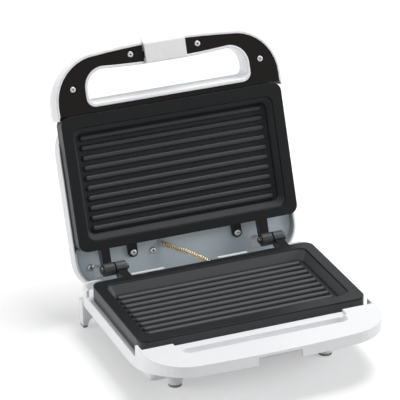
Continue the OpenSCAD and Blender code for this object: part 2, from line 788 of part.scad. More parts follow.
// Gland that takes the supply cord through the back of the case
module cord_gland() {
  color([0.15, 0.15, 0.16]) hinge_frame() translate([-gland_x, stand_back, gland_z])
    rotate([-90, 0, 0]) rotate_extrude($fn = 64) polygon([
      [cord_d / 2, -stand_t - wall - 4], [gland_r, -stand_t - wall - 4], [gland_r, 0.2], [gland_r + 2, 0.2],
      [gland_r + 2, 2.2], [gland_r, 2.8], [gland_r - 0.9, 18], [cord_d / 2, 18]]);
}

// Bar that holds the cord down inside the case
module cord_clamp() {
  color([0.2, 0.2, 0.21]) hinge_frame() difference() {
    block(-gland_x - 13, -gland_x + 13, 11.5, 18.5, gland_z + 2.5 + touch, gland_z + 6.5);
    translate([-gland_x, 0, gland_z]) rotate([90, 0, 0]) cylinder(r = cord_d / 2, h = 40, $fn = 48);
    for (x = [-1, 1]) post(x * clamp_post_x - gland_x, clamp_post_f, gland_z, gland_z + 9, pilot_r + 0.3);
  }
}

module cord_clamp_screws() {
  color([0.6, 0.6, 0.6]) hinge_frame() for (x = [-1, 1])
    translate([x * clamp_post_x - gland_x, -clamp_post_f, gland_z + 6.5 + touch]) screw(8.2, 2.8, 1.6);
}

module terminal_block() {
  color([0.9, 0.88, 0.82]) hinge_frame() difference() {
    block(30, 60, 11, 23, cover_z + 1 + touch, cover_z + 12);
    for (x = [35, 45, 55]) {
      post(x, 17, cover_z + 7, cover_z + 13, 2.4);
      translate([x, 0, cover_z + 5]) rotate([90, 0, 0]) cylinder(r = 1.7, h = 40, $fn = 24);
    }
  }
}

module base_wires() {
  lead_end = below_plate_z(heater_z);
  color([0.75, 0.2, 0.15]) hinge_frame() {
    tube([[35, -23.4, cover_z + 5], [35, -27, cover_z + 6], [30, -29, cover_z + 9], [-20, -28, cover_z + 11],
          [-80, -27, cover_z + 14], [-94, -31, cover_z + 17], [-97, -42, lead_end - 3],
          [-97, -pan_mid + heater_span / 2 - 3, lead_end - 0.5],
          [-94, -pan_mid + heater_span / 2, lead_end], [heater_x0 - 12.05, -pan_mid + heater_span / 2, lead_end]], 1.1);
    tube([[45, -23.4, cover_z + 5], [45, -26, cover_z + 9], [44, -29, rail_z - 7.8], [40, -37, rail_z - 8],
          [22, -41, rail_z - 8.4], [12, -60, rail_z - 9], [4, -pan_mid + 10, rail_z - 9], [3.5, -pan_mid + 0.9, rail_z - 8]], 0.9);
  }
}

function below_plate_z(z) = rail_z - z;

// Grommets at the two ends of the spring
module conduit_bush_low() {
  color([0.2, 0.2, 0.2]) hinge_frame() translate([spring_low[0], spring_low[1], 0]) difference() {
    union() {
      translate([0, 0, rail_z + touch]) cylinder(r = 4.6, h = 1.2, $fn = 48);
      translate([0, 0, deck_z - 1.5]) cylinder(r = 3.05, h = bush_low_z - deck_z + 1.5, $fn = 48);
      translate([0, 0, deck_z - 2]) cylinder(r = 3.05, h = 2, $fn = 48);
    }
    translate([0, 0, -far]) cylinder(r = spring_r - wire_d / 2, h = 2 * far, $fn = 32);
  }
}

module conduit_bush_top() {
  color([0.2, 0.2, 0.2]) lid_frame() translate([bush_lid[0], bush_lid[1], 0]) difference() {
    union() {
      translate([0, 0, bush_lid[2]]) cylinder(r = 3.05, h = floor_z + floor_t + 2 - bush_lid[2], $fn = 48);
      translate([0, 0, floor_z - 1.2]) cylinder(r = 4.6, h = 1.2 - touch, $fn = 48);
    }
    translate([0, 0, -far]) cylinder(r = spring_r - wire_d / 2, h = 2 * far, $fn = 32);
  }
}

module spring_conduit() {
  color([0.72, 0.6, 0.36]) hinge_frame() tube(spring_path, wire_d / 2, 6);
}

module lead_wires() {
  color([0.8, 0.75, 0.65]) hinge_frame() for (k = [0 : 2])
    tube(concat(
      [round_route(0, 0.8, 120 * k + 30) - [0, 0, 6]],
      [for (i = [0 : 20]) round_route(route_len * i / 20, 0.8, 120 * k + 30)],
      [round_route(route_len, 0.8, 120 * k + 30) - 5 * spring_top_dir]), lead_d / 2, 8);
}

// Slices of the lid's dome: height, side inset, front reach, back inset
dome_slices = [
  [lid_rim, bulge, 155, 0],
  [lid_rim + 6, 0, 155, 0],
  [lid_h - 9, 1.5, 153, 1.6],
  [lid_h - 3.4, 9, 144.5, 8],
  [lid_h - 1, 17, 137, 16],
  [lid_h, 26, 128, 25]
];

module dome(t) {
  hull() for (i = [0 : len(dome_slices) - 1]) {
    s = dome_slices[i];
    z = i == 0 && t > 0 ? s[0] - 1 : s[0] - t * (i > 1 ? 1 : 0);
    slab(outline(body_half - s[1] - t, 40 - t, s[2] - t, 1, lid_back - s[3] - t, 30 - t), z - thin, z);
  }
}

// Slices of the handle: height, side inset, front inset, corner
handle_slices = [
  [seam / 2, bulge, 0],
  [handle_h * 0.43, 0, 0],
  [handle_h - 4, 0.6, 1],
  [handle_h - 1.3, 2.2, 2.4],
  [handle_h, 4.6, 4.2]
];

module handle(t) {
  hull() for (i = [0 : len(handle_slices) - 1]) {
    s = handle_slices[i];
    z = i == 0 && t > 0 ? s[0] - 1 : min(s[0], handle_h - t);
    slab(outline(body_half - s[1] - t, lid_corner - s[1] - t, handle_front - s[2] - t, handle_bow,
                 (t > 0 ? 12 : 0) - handle_f0, 1), z, z + thin);
  }
}

function hole_outline(t, slope) =
  outline(hole_half - t, hole_corner - t, hole_f1 + hole_bow - t, 0, -hole_f0 - t - slope, 9 - t);

// The hole, inset by t: its near wall slopes, and the bar in front of it is thicker in the middle
module hole_prism(t, z0, z1, slope = hole_slope) {
  reach = hole_half - hole_corner;
  bow_r = (reach * reach + hole_bow * hole_bow) / (2 * hole_bow);
  difference() {
    hull() {
      slab(hole_outline(t, 0), z0, z0 + thin);
      slab(hole_outline(t, slope), z1 - thin, z1);
    }
    translate([0, -hole_f1 - bow_r, z0 - 1]) cylinder(r = bow_r + t, h = z1 - z0 + 2, $fn = 360);
  }
}

// Lid shell: dome over the upper plate, and the handle with its hole
module lid_shell() {
  color([0.95, 0.95, 0.95]) lid_frame() difference() {
    union() {
      difference() {
        union() {
          dome(0);
          handle(0);
        }
        union() {
          dome(wall);
          handle(wall - 0.3);
        }
      }
      hole_prism(0, seam / 2, handle_h - thin);
      for (p = panel_screws) both_sides() post(p[0], p[1], panel_z + panel_t + touch, handle_h - 1, 3.6);
      intersection() {
        dome(1);
        union() {
          for (p = floor_screws) post(p[0], p[1], floor_z + floor_t + touch, lid_h, boss_r);
          both_sides() post(lug_x, lug_f, floor_z + floor_t + touch, lid_h, boss_r);
          both_sides() post(stop_post[0], stop_post[1], seam / 2 + plate_h + touch, lid_h, boss_r);
        }
      }
      both_sides() block(bay_half + 0.3, bay_half + 4.3, latch_f - 4, latch_f + 3, panel_z + panel_t + touch, handle_h - 1);
    }
    hole_prism(hole_rim, -1, handle_h + 1);
    block(-plate_half - 0.4, plate_half + 0.4, hinge_setback - 1, plate_front + 0.4, 0, seam / 2 + plate_h + 0.4);
    translate([0, -latch_f, latch_z]) rod_x(-bay_half, bay_half, bay_r);
    block(-bay_half, bay_half, latch_f, handle_front + 5, -1, latch_z + 1);
    block(-bay_half, bay_half, latch_f - latch_hook - hook_t - 1, latch_f - 4, -1, latch_z + 0.9);
    translate([0, -latch_f, latch_z]) rod_x(-bay_half - 5, bay_half + 5, latch_pin_d / 2 + touch);
    for (p = panel_screws) both_sides() post(p[0], p[1], 0, 12, pilot_r);
    for (p = floor_screws) post(p[0], p[1], 0, roof_z, pilot_r);
    both_sides() post(lug_x, lug_f, 0, roof_z, pilot_r);
    both_sides() post(lens_x, lens_f, lid_h - wall - 5, lid_h + 1, lens_d / 2 + touch);
  }
}

module lid_floor() {
  color([0.8, 0.82, 0.83]) lid_frame() difference() {
    slab(outline(body_half - bulge - wall - clear, 8, hinge_setback + 3, 0, lid_back - wall - clear - 2, 27),
         floor_z, floor_z + floor_t);
    both_sides() slab(rounded_slot(knuckle_x, knuckle_w + 2.5, -9, 3), 0, far);
    for (p = floor_screws) post(p[0], p[1], 0, far, pilot_r + 0.3);
    both_sides() post(lug_x, lug_f, 0, far, pilot_r + 0.3);
    translate([bush_lid[0], bush_lid[1], 0]) cylinder(r = 3.05 + touch, h = far, $fn = 48);
  }
}

// Dark panel in the face of the handle
module handle_panel() {
  t = wall - 0.3 + clear / 2;
  color([0.09, 0.08, 0.08]) lid_frame() difference() {
    slab(outline(body_half - bulge - t, lid_corner - bulge - t, handle_front - t, handle_bow,
                 -plate_front - 0.6, 1), panel_z, panel_z + panel_t);
    hole_prism(-clear / 2, -1, panel_z + panel_t + 1, 0);
    block(-bay_half, bay_half, latch_f - 4, far, -1, far);
    block(-bay_half, bay_half, latch_f - latch_hook - hook_t - 1, latch_f - latch_hook + 0.8, -1, far);
    for (p = panel_screws) both_sides() {
      post(p[0], p[1], -1, panel_z + panel_t + 1, pilot_r + 0.3);
      translate([p[0], -p[1], panel_z - thin]) cylinder(r1 = 3.5, r2 = 3.3, h = 0.8, $fn = 48);
    }
  }
}

module panel_screws() {
  color([0.55, 0.55, 0.56]) lid_frame() for (p = panel_screws) both_sides()
    translate([p[0], -p[1], panel_z + 0.75]) mirror([0, 0, 1]) screw(9, 2.9, 1);
}

module lug_screws() {
  color([0.35, 0.35, 0.36]) lid_frame() both_sides()
    translate([lug_x, -lug_f, seam / 2 + lug_z() - touch]) mirror([0, 0, 1])
      screw(floor_z + floor_t - lug_z() + 6, 3.6, 2);
}

module floor_screws() {
  color([0.7, 0.7, 0.7]) lid_frame() for (p = floor_screws)
    translate([p[0], -p[1], floor_z - touch]) mirror([0, 0, 1]) screw(floor_t + 7, 3.4, 1.8);
}

module lid_wires() {
  lead_z = seam / 2 + plate_h + heater_z;
  color([0.75, 0.2, 0.15]) lid_frame() {
    tube([[-23.5, -12.3, floor_z + floor_t + 3.2], [-27, -14, floor_z + 6.5], [-42, -18, floor_z + 7], [-86, -24, floor_z + 6.5],
          [-95, -30, lead_z + 4.2], [-97, -42, lead_z + 4],
          [-97, -pan_mid + heater_span / 2 - 3, lead_z + 0.5],
          [-94, -pan_mid + heater_span / 2, lead_z], [heater_x0 - 12.05, -pan_mid + heater_span / 2, lead_z]], 1.1);
    tube([[-21.3, -13.3, floor_z + floor_t + 3.2], [-18, -18, floor_z + 7.5], [-15, -28, lid_h - 5], [-15, -60, lid_h - 4.6],
          [-14, -lens_f + 22, lid_h - 4.8], [-lens_x, -lens_f + 6.1, lid_h - 4.8]], 0.9);
  }
}

// Pilot lenses on top of the lid, their lamps and the holder behind them
module lens() {
  r = lens_d / 2;
  post(0, 0, -lens_neck, touch + thin, r);
  intersection() {
    post(0, 0, touch, 4, r + 1.2);
    translate([0, 0, 2.2 - 2 * lens_d]) sphere(r = 2 * lens_d, $fn = 96);
  }
}

module power_lens() {
  color([0.8, 0.1, 0.08]) lid_frame() translate([-lens_x, -lens_f, lid_h]) lens();
}

module ready_lens() {
  color([0.1, 0.6, 0.2]) lid_frame() translate([lens_x, -lens_f, lid_h]) lens();
}

module pilot_lamps() {
  color([0.9, 0.85, 0.8]) lid_frame() for (x = [-lens_x, lens_x])
    translate([x - 5, -lens_f, holder_z + 0.8 + lamp_r + touch]) {
      rod_x(0, 8, lamp_r);
      translate([8, 0, 0]) sphere(r = lamp_r, $fn = 24);
    }
}

module lamp_holder() {
  color([0.3, 0.3, 0.3]) lid_frame() difference() {
    block(-lens_x - 8, lens_x + 8, lens_f - 6, lens_f + 6, holder_z, lid_h - lens_neck - touch);
    both_sides() block(lens_x - 6.4, lens_x + 6.4, lens_f - 4.8, lens_f + 4.8, holder_z + 0.8, lid_h);
  }
}

// Pin of the latch clip, in the two ears inside the handle bar
module latch_pin() {
  color([0.6, 0.6, 0.62]) lid_frame() translate([0, -latch_f, latch_z])
    rod_x(-bay_half - 4, bay_half + 4, latch_pin_d / 2);
}

// Latch clip, folded flat on the handle bar: web, hook at its inner end, curl round the pin
module latch_clip() {
  inner = latch_hook;
  outer = latch_hook + hook_t;
  web_z = -latch_reach - latch_t;
  color([0.97, 0.97, 0.97]) lid_frame() translate([0, -latch_f, latch_z]) difference() {
    union() {
      rotate([90, 0, 90]) translate([0, 0, -latch_half]) linear_extrude(latch_w) polygon(concat(
        [[outer, web_z + 0.8], [outer, -0.3], [outer - 0.6, 0.2], [inner, 0.2], [inner, -latch_reach],
         [0, -latch_reach], [0, -2], [-3, 1.5], [-5, 0.8], [-7.6, 0.5]],
        arc([-7.2, -0.6], 0.8, 180, 210, 3),
        [[-3.6, web_z + 0.5], [-2.2, web_z]],
        [[outer - 0.8, web_z]]));
      rod_x(-latch_half, latch_half, 3.2);
    }
    rod_x(-far, far, latch_pin_d / 2 + touch);
  }
}

base_shell();
base_cover();
rear_stand();
lower_plate();
lower_heater();
lower_heater_clamps();
lower_clamp_screws();
lower_reflector();
lower_reflector_screws();
thermostat();
lower_plate_screws();
base_cover_screws();
stand_screws();
front_foot_pads();
rear_foot_pads();
hinge_pins();
hinge_clips();
cord_gland();
cord_clamp();
cord_clamp_screws();
terminal_block();
base_wires();
conduit_bush_low();
spring_conduit();
lead_wires();
lid_shell();
lid_floor();
handle_panel();
panel_screws();
upper_plate();
upper_heater();
upper_heater_clamps();
upper_clamp_screws();
upper_reflector();
upper_reflector_screws();
lug_screws();
floor_screws();
thermal_fuse();
conduit_bush_top();
lid_wires();
power_lens();
ready_lens();
pilot_lamps();
lamp_holder();
latch_pin();
latch_clip();
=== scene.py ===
"""Looks of the sandwich toaster: finishes, spring, screws and studio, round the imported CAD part."""

import json
import math

import bpy
from mathutils import Matrix, Vector


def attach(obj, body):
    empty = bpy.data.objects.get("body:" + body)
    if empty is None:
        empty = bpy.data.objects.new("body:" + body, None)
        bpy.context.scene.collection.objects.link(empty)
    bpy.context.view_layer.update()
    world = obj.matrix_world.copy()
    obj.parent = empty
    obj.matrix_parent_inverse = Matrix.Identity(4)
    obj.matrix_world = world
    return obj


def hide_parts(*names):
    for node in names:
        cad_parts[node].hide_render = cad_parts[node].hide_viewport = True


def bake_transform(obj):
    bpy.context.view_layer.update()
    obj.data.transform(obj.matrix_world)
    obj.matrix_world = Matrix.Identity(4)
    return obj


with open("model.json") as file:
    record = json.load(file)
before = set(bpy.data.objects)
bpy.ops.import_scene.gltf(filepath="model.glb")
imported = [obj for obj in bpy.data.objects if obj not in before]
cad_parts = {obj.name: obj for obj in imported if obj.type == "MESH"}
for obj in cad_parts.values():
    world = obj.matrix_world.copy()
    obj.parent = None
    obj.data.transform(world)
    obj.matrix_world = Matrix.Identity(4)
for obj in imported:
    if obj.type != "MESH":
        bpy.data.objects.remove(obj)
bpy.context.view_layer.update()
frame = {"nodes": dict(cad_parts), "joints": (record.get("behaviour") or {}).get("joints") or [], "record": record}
NODES = frame["nodes"]
JOINTS = {j["name"]: j for j in frame["joints"]}
HINGE = Vector(JOINTS["lid_hinge"]["pos_m"])
OPEN = math.radians(110)
MM = 0.001

# Depths under a plate's rim plane, in metres: where the dark rim fades out, and where the painted highlight on the
# ribs begins
RIM_FADE = (0.0012, 0.0022)
RIB_HIGHLIGHT_FADE = (0.0091, 0.0108)

# The spring's two ends, in the hinge's and in the closed lid's millimetres, and how straight it leaves them
SPRING_LOW = (15, -11, -12.2)
SPRING_HIGH = (-23, 12.3, 20.3)
PULL = 8
TURNS, PER_TURN = 25, 16
COIL_R, WIRE_R = 2.35, 0.55
LEAD_COUNT, LEAD_ORBIT, LEAD_R, LEAD_TWIST = 3, 0.8, 0.6, 1.5
LEAD_TAIL_LOW, LEAD_TAIL_HIGH = 6, 5

# Radius of a screw's shank, and sides of a screw, in millimetres
SHANK_R = 1.2
AROUND = 48

# How far the paper that the camera sees is lifted, and how strong the world's light is on the object
PAPER_LIFT = 0.34
WORLD_LEVEL = 0.34

# Camera fitted to the photograph: degrees, millimetres from the middle of the hinge axis, and pixels
AZIMUTH, ELEVATION, ROLL = math.radians(-21.91), math.radians(25.14), math.radians(-0.78)
CAMERA_MM = (-863.4, -2164.6, 1150.3)
FOCAL_PX, PHOTO_PX, SENSOR_MM = 2689.4, 400, 36.0

def lid_point(x, f, z):
    """A point given in the closed lid's own millimetres, in the row frame with the lid open."""
    s, c = math.sin(OPEN), math.cos(OPEN)
    return HINGE + Vector((x, -f * c + z * s, f * s + z * c)) * MM


def lid_direction(x, f, z):
    return (lid_point(x, f, z) - lid_point(0, 0, 0)).normalized()


# Materials


class Graph:
    """Short way to write a node tree."""

    def __init__(self, name):
        self.mat = bpy.data.materials.new(name)
        self.mat.use_nodes = True
        self.tree = self.mat.node_tree
        self.tree.nodes.clear()
        self.out = self.add("ShaderNodeOutputMaterial")

    def add(self, kind, **values):
        node = self.tree.nodes.new(kind)
        for key, value in values.items():
            setattr(node, key, value)
        return node

    def link(self, a, b):
        self.tree.links.new(a, b)

    def put(self, socket, value):
        if isinstance(value, bpy.types.NodeSocket):
            self.link(value, socket)
        else:
            socket.default_value = value

    def place(self):
        if not hasattr(self, "_place"):
            self._place = self.add("ShaderNodeTexCoord").outputs["Object"]
        return self._place

    def noise(self, scale, detail=2.0, rough=0.5, stretch=None, four=0.0):
        node = self.add("ShaderNodeTexNoise")
        where = self.place()
        if stretch:
            mapping = self.add("ShaderNodeMapping")
            mapping.inputs["Scale"].default_value = stretch
            self.link(where, mapping.inputs["Vector"])
            where = mapping.outputs["Vector"]
        if four:
            node.noise_dimensions = "4D"
            node.inputs["W"].default_value = four
        self.link(where, node.inputs["Vector"])
        node.inputs["Scale"].default_value = scale
        node.inputs["Detail"].default_value = detail
        node.inputs["Roughness"].default_value = rough
        return node.outputs["Fac"]

    def span(self, value, a, b, low=0.0, high=1.0):
        node = self.add("ShaderNodeMapRange", clamp=True)
        self.put(node.inputs["Value"], value)
        for key, number in (("From Min", a), ("From Max", b), ("To Min", low), ("To Max", high)):
            node.inputs[key].default_value = number
        return node.outputs["Result"]

    def math(self, kind, a, b=0.0):
        node = self.add("ShaderNodeMath", operation=kind)
        self.put(node.inputs[0], a)
        self.put(node.inputs[1], b)
        return node.outputs[0]

    def mix(self, fac, a, b):
        node = self.add("ShaderNodeMix", data_type="RGBA")
        self.put(node.inputs[0], fac)
        self.put(node.inputs[6], a)
        self.put(node.inputs[7], b)
        return node.outputs[2]

    def soft_edge(self, radius):
        node = self.add("ShaderNodeBevel", samples=8)
        node.inputs["Radius"].default_value = radius
        return node.outputs["Normal"]

    def edge(self, radius):
        """1 on an edge narrower than radius, 0 on open ground."""
        bevel = self.soft_edge(radius)
        true = self.add("ShaderNodeNewGeometry").outputs["Normal"]
        dot = self.add("ShaderNodeVectorMath", operation="DOT_PRODUCT")
        self.link(bevel, dot.inputs[0])
        self.link(true, dot.inputs[1])
        return self.span(dot.outputs["Value"], 0.97, 0.75)

    def bump(self, height, distance, normal=None):
        node = self.add("ShaderNodeBump")
        node.inputs["Strength"].default_value = 1.0
        node.inputs["Distance"].default_value = distance
        self.link(height, node.inputs["Height"])
        if normal is not None:
            self.link(normal, node.inputs["Normal"])
        return node.outputs["Normal"]

    def shader(self, color, rough, normal=None, **more):
        node = self.add("ShaderNodeBsdfPrincipled")
        self.put(node.inputs["Base Color"], color)
        self.put(node.inputs["Roughness"], rough)
        for key, value in more.items():
            self.put(node.inputs[key.replace("_", " ")], value)
        if normal is not None:
            self.link(normal, node.inputs["Normal"])
        self.link(node.outputs[0], self.out.inputs[0])
        return node


def rgb(r, g, b):
    return (r, g, b, 1.0)


def plastic(name, color, shade, rough, radius, peel=0.02, spec=0.5, wash=9.0):
    """Moulded plastic: a faint cloudiness, orange peel and soft edges."""
    g = Graph(name)
    cloud = g.noise(wash, 3.0)
    tone = g.mix(g.span(cloud, 0.35, 0.65), rgb(*color), rgb(*shade))
    fine = g.noise(650.0, 2.0)
    polish = g.span(g.noise(40.0, 4.0, four=2.0), 0.3, 0.7, rough - 0.02, rough + 0.03)
    normal = g.bump(fine, peel * MM, g.soft_edge(radius))
    g.shader(tone, polish, normal, Specular_IOR_Level=spec)
    return g.mat


def metal(name, color, shade, rough, radius=0.0003, stretch=None, scale=300.0):
    """Plated or rolled metal with fine streaks and a mottled tone."""
    g = Graph(name)
    tone = g.mix(g.span(g.noise(60.0, 4.0), 0.35, 0.7), rgb(*color), rgb(*shade))
    streak = g.noise(scale, 3.0, stretch=stretch)
    polish = g.span(streak, 0.25, 0.75, rough - 0.08, rough + 0.1)
    normal = g.bump(streak, 0.01 * MM, g.soft_edge(radius))
    g.shader(tone, polish, normal, Metallic=1.0)
    return g.mat


def coating(name, pan, rib_highlight_tone, rim, bare_wear_and_highlight, node, up):
    """Non-stick coating on a casting: sprayed speckle, satin, darker on the rim, paler on the ribs as a painted
    highlight, and paler on edges, partly wear and partly a painted highlight.

    The rim is what lies near the plane through the hinge axis whose normal is up."""
    g = Graph(name)
    speckle = g.noise(1400.0, 3.0, 0.6)
    cloud = g.noise(14.0, 3.0)
    tone = g.mix(g.span(cloud, 0.3, 0.7), rgb(*pan), rgb(*[c * 0.86 for c in pan]))
    turned = node.matrix_world.to_3x3().transposed() @ up
    dot = g.add("ShaderNodeVectorMath", operation="DOT_PRODUCT")
    g.link(g.place(), dot.inputs[0])
    dot.inputs[1].default_value = turned
    plane = turned.dot(node.matrix_world.inverted() @ HINGE)
    away = g.math("ABSOLUTE", g.math("SUBTRACT", dot.outputs["Value"], plane))
    # Painted highlight: a paler tone on the ribs stands in for the light caught on their tops.
    rib_highlight_mask = g.span(away, *RIB_HIGHLIGHT_FADE, 1.0, 0.0)
    on_rim = g.span(away, *RIM_FADE, 1.0, 0.0)
    tone = g.mix(rib_highlight_mask, tone, rgb(*rib_highlight_tone))
    tone = g.mix(on_rim, tone, rgb(*rim))
    tone = g.mix(g.span(speckle, 0.45, 0.8, 0.0, 0.3), tone, rgb(*[c * 1.6 for c in pan]))
    # Edges lighten towards the bare tone: partly worn coating, partly a painted highlight along the edges.
    tone = g.mix(g.math("MULTIPLY", g.edge(0.0006), 0.4), tone, rgb(*bare_wear_and_highlight))
    polish = g.span(g.noise(90.0, 4.0, four=1.0), 0.3, 0.7, 0.33, 0.43)
    normal = g.bump(speckle, 0.03 * MM, g.soft_edge(0.0009))
    g.shader(tone, polish, normal, Specular_IOR_Level=0.16)
    return g.mat


def rubber(name, color):
    g = Graph(name)
    tone = g.mix(g.span(g.noise(120.0, 3.0), 0.3, 0.7), rgb(*color), rgb(*[c * 0.7 for c in color]))
    normal = g.bump(g.noise(900.0, 2.0), 0.04 * MM, g.soft_edge(0.0004))
    g.shader(tone, 0.72, normal, Specular_IOR_Level=0.3)
    return g.mat


def lens(name, color):
    g = Graph(name)
    ring = g.noise(500.0, 1.0)
    normal = g.bump(ring, 0.05 * MM)
    g.shader(rgb(*color), 0.12, normal, Transmission_Weight=0.35, IOR=1.49, Coat_Weight=0.4)
    return g.mat


def sleeve(name, color, shade):
    """Woven glass-fibre sleeve or soft silicone lead."""
    g = Graph(name)
    weave = g.noise(2200.0, 1.0, stretch=(1.0, 1.0, 0.35))
    tone = g.mix(g.span(weave, 0.35, 0.65), rgb(*color), rgb(*shade))
    g.shader(tone, 0.6, g.bump(weave, 0.05 * MM))
    return g.mat


M = {
    "white_shell": plastic("white_shell", (0.89, 0.9, 0.92), (0.885, 0.895, 0.915), 0.3, 0.0011, 0.003,
                           wash=5.0),
    "white_clip": plastic("white_clip", (0.9, 0.9, 0.9), (0.89, 0.89, 0.89), 0.26, 0.0008, 0.006, wash=5.0),
    # Blue-grey copy of the white shell plastic for the lid's floor: the blue-grey tone is painted shade.
    "pale_floor": plastic("pale_floor", (0.74, 0.84, 0.90), (0.71, 0.81, 0.87), 0.45, 0.0006, 0.02),
    "dark_panel": plastic("dark_panel", (0.010, 0.008, 0.0075), (0.008, 0.007, 0.0065), 0.34, 0.0005,
                          0.012, 0.13),
    "black_plastic": plastic("black_plastic", (0.02, 0.02, 0.021), (0.014, 0.014, 0.015), 0.5, 0.0004,
                             0.04, 0.3),
    "pale_plastic": plastic("pale_plastic", (0.66, 0.62, 0.52), (0.6, 0.56, 0.46), 0.5, 0.0004, 0.04),
    # Two copies of one coating: the lower plate's is lighter as painted light and sheen, the upper plate's darker
    # as painted shade.
    "coated_low_painted_light": coating("coated_low_painted_light", (0.040, 0.043, 0.045), (0.082, 0.088, 0.09), (0.013, 0.014, 0.015),
                          (0.13, 0.135, 0.14), NODES["lower_plate"], Vector((0, 0, 1))),
    "coated_up_painted_shade": coating("coated_up_painted_shade", (0.020, 0.022, 0.025), (0.06, 0.064, 0.068), (0.008, 0.0085, 0.009),
                         (0.09, 0.095, 0.1), NODES["upper_plate"], lid_direction(0, 0, 1)),
    # Near-black for the hollows of the screws' cross recesses: painted shade, the screws being steel throughout.
    "recess": plastic("recess", (0.03, 0.03, 0.031), (0.02, 0.02, 0.021), 0.6, 0.0002, 0.01, 0.2),
    "heater_sheath": metal("heater_sheath", (0.24, 0.21, 0.18), (0.14, 0.12, 0.11), 0.5),
    "reflector_sheet": metal("reflector_sheet", (0.78, 0.78, 0.8), (0.7, 0.7, 0.73), 0.3,
                             stretch=(0.05, 1, 1)),
    "steel": metal("steel", (0.58, 0.58, 0.59), (0.46, 0.46, 0.47), 0.34),
    "dark_steel": metal("dark_steel", (0.1, 0.1, 0.105), (0.06, 0.06, 0.065), 0.38),
    "spring_brass": metal("spring_brass", (0.90, 0.80, 0.60), (0.74, 0.62, 0.42), 0.28, 0.0002),
    "rubber": rubber("rubber", (0.34, 0.34, 0.345)),
    "red_lens": lens("red_lens", (0.6, 0.02, 0.015)),
    "green_lens": lens("green_lens", (0.03, 0.4, 0.08)),
    "lamp_glass": lens("lamp_glass", (0.85, 0.82, 0.78)),
    "wire_sleeve": sleeve("wire_sleeve", (0.5, 0.08, 0.06), (0.34, 0.05, 0.04)),
    "lead_sleeve": sleeve("lead_sleeve", (0.66, 0.6, 0.48), (0.55, 0.48, 0.36)),
}

SLOT = {s["node"]: s["material_slot"] for s in frame["record"]["subparts"]}
# Nodes whose finish differs from their slot's: the two plates, which get a lighter and a darker copy of one
# coating as painted light and painted shade, and the upper bush, pale in the photograph, which takes the lid
# floor's painted-shade blue-grey
LOOK = {"lower_plate": "coated_low_painted_light", "upper_plate": "coated_up_painted_shade", "conduit_bush_top": "pale_floor"}
for name, node in NODES.items():
    node.data.materials.clear()
    node.data.materials.append(M[LOOK.get(name, SLOT[name])])

# Spring and leads


def smooth(obj, angle=40.0):
    """Smooth shading, but for edges sharper than angle."""
    mesh = obj.data
    mesh.shade_smooth()
    mesh.set_sharp_from_angle(angle=math.radians(angle))


def new_object(name, vertices, faces, material, slot):
    mesh = bpy.data.meshes.new(name)
    mesh.from_pydata([tuple(v) for v in vertices], [], faces)
    mesh.materials.append(material)
    obj = bpy.data.objects.new(name, mesh)
    bpy.context.scene.collection.objects.link(obj)
    return obj


def sweep(path, radius, sides):
    """Vertices and faces of a round wire with closed ends, along a list of points."""
    rings, faces = [], []
    side = None
    for i, point in enumerate(path):
        along = (path[min(i + 1, len(path) - 1)] - path[max(i - 1, 0)]).normalized()
        if side is None:
            side = along.orthogonal().normalized()
        side = (side - along * side.dot(along)).normalized()
        other = along.cross(side)
        for k in range(sides):
            a = 2 * math.pi * k / sides
            rings.append(point + radius * (math.cos(a) * side + math.sin(a) * other))
    for i in range(len(path) - 1):
        for k in range(sides):
            a, b = i * sides + k, i * sides + (k + 1) % sides
            faces.append((a, b, b + sides, a + sides))
    faces.append(tuple(range(sides - 1, -1, -1)))
    faces.append(tuple((len(path) - 1) * sides + k for k in range(sides)))
    return rings, faces


low = HINGE + Vector(SPRING_LOW) * MM
high = lid_point(*SPRING_HIGH)
low_pull = low + Vector((0, 0, PULL)) * MM
high_pull = high - lid_direction(0, 0, 1) * PULL * MM


def route(t):
    """Point of the cubic curve between the spring's two ends."""
    near = (1 - t) ** 3 * low + 3 * (1 - t) ** 2 * t * low_pull
    return near + 3 * (1 - t) * t * t * high_pull + t ** 3 * high


STEPS = 400
table = [(0.0, 0.0)]
for i in range(1, STEPS + 1):
    step = (route(i / STEPS) - route((i - 1) / STEPS)).length
    table.append((table[-1][0] + step, i / STEPS))
LENGTH = table[-1][0]


def route_at(s):
    """Point and direction at a distance s along the route."""
    s = min(max(s, 0.0), LENGTH)
    k = next(i for i in range(1, STEPS + 1) if table[i][0] >= s or i == STEPS)
    (s0, t0), (s1, t1) = table[k - 1], table[k]
    t = t0 + (t1 - t0) * (s - s0) / max(s1 - s0, 1e-9)
    along = (route(min(t + 0.005, 1)) - route(max(t - 0.005, 0))).normalized()
    return route(t), along


def round_route(s, radius, angle):
    point, along = route_at(s)
    u = (Vector((1, 0, 0)) - along * along.x).normalized()
    v = along.cross(u)
    return point + radius * (math.cos(angle) * u + math.sin(angle) * v)


coil = [round_route(LENGTH * i / (TURNS * PER_TURN), COIL_R * MM, 2 * math.pi * i / PER_TURN)
        for i in range(TURNS * PER_TURN + 1)]
spring = new_object("spring_coil", *sweep(coil, WIRE_R * MM, 10), M["spring_brass"], "spring_brass")
smooth(spring)
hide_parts("spring_conduit")
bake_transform(spring)

vertices, faces = [], []
for k in range(LEAD_COUNT):
    turn = 2 * math.pi * k / LEAD_COUNT + 0.5
    path = [low + Vector((LEAD_ORBIT * math.cos(turn), LEAD_ORBIT * math.sin(turn), -LEAD_TAIL_LOW)) * MM]
    path += [round_route(LENGTH * i / 40, LEAD_ORBIT * MM, turn + LEAD_TWIST * i / 40) for i in range(41)]
    path += [path[-1] + lid_direction(0, 0, 1) * LEAD_TAIL_HIGH * MM]
    v, f = sweep(path, LEAD_R * MM, 8)
    faces += [tuple(i + len(vertices) for i in face) for face in f]
    vertices += v
leads = new_object("leads", vertices, faces, M["lead_sleeve"], "lead_sleeve")
smooth(leads)
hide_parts("lead_wires")
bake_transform(leads)

# Screws of the lid


def cross_recess(angle, head_r):
    """Radius of the cross-shaped recess at an angle."""
    return head_r * (0.2 + 0.34 * abs(math.cos(2 * angle)) ** 5)


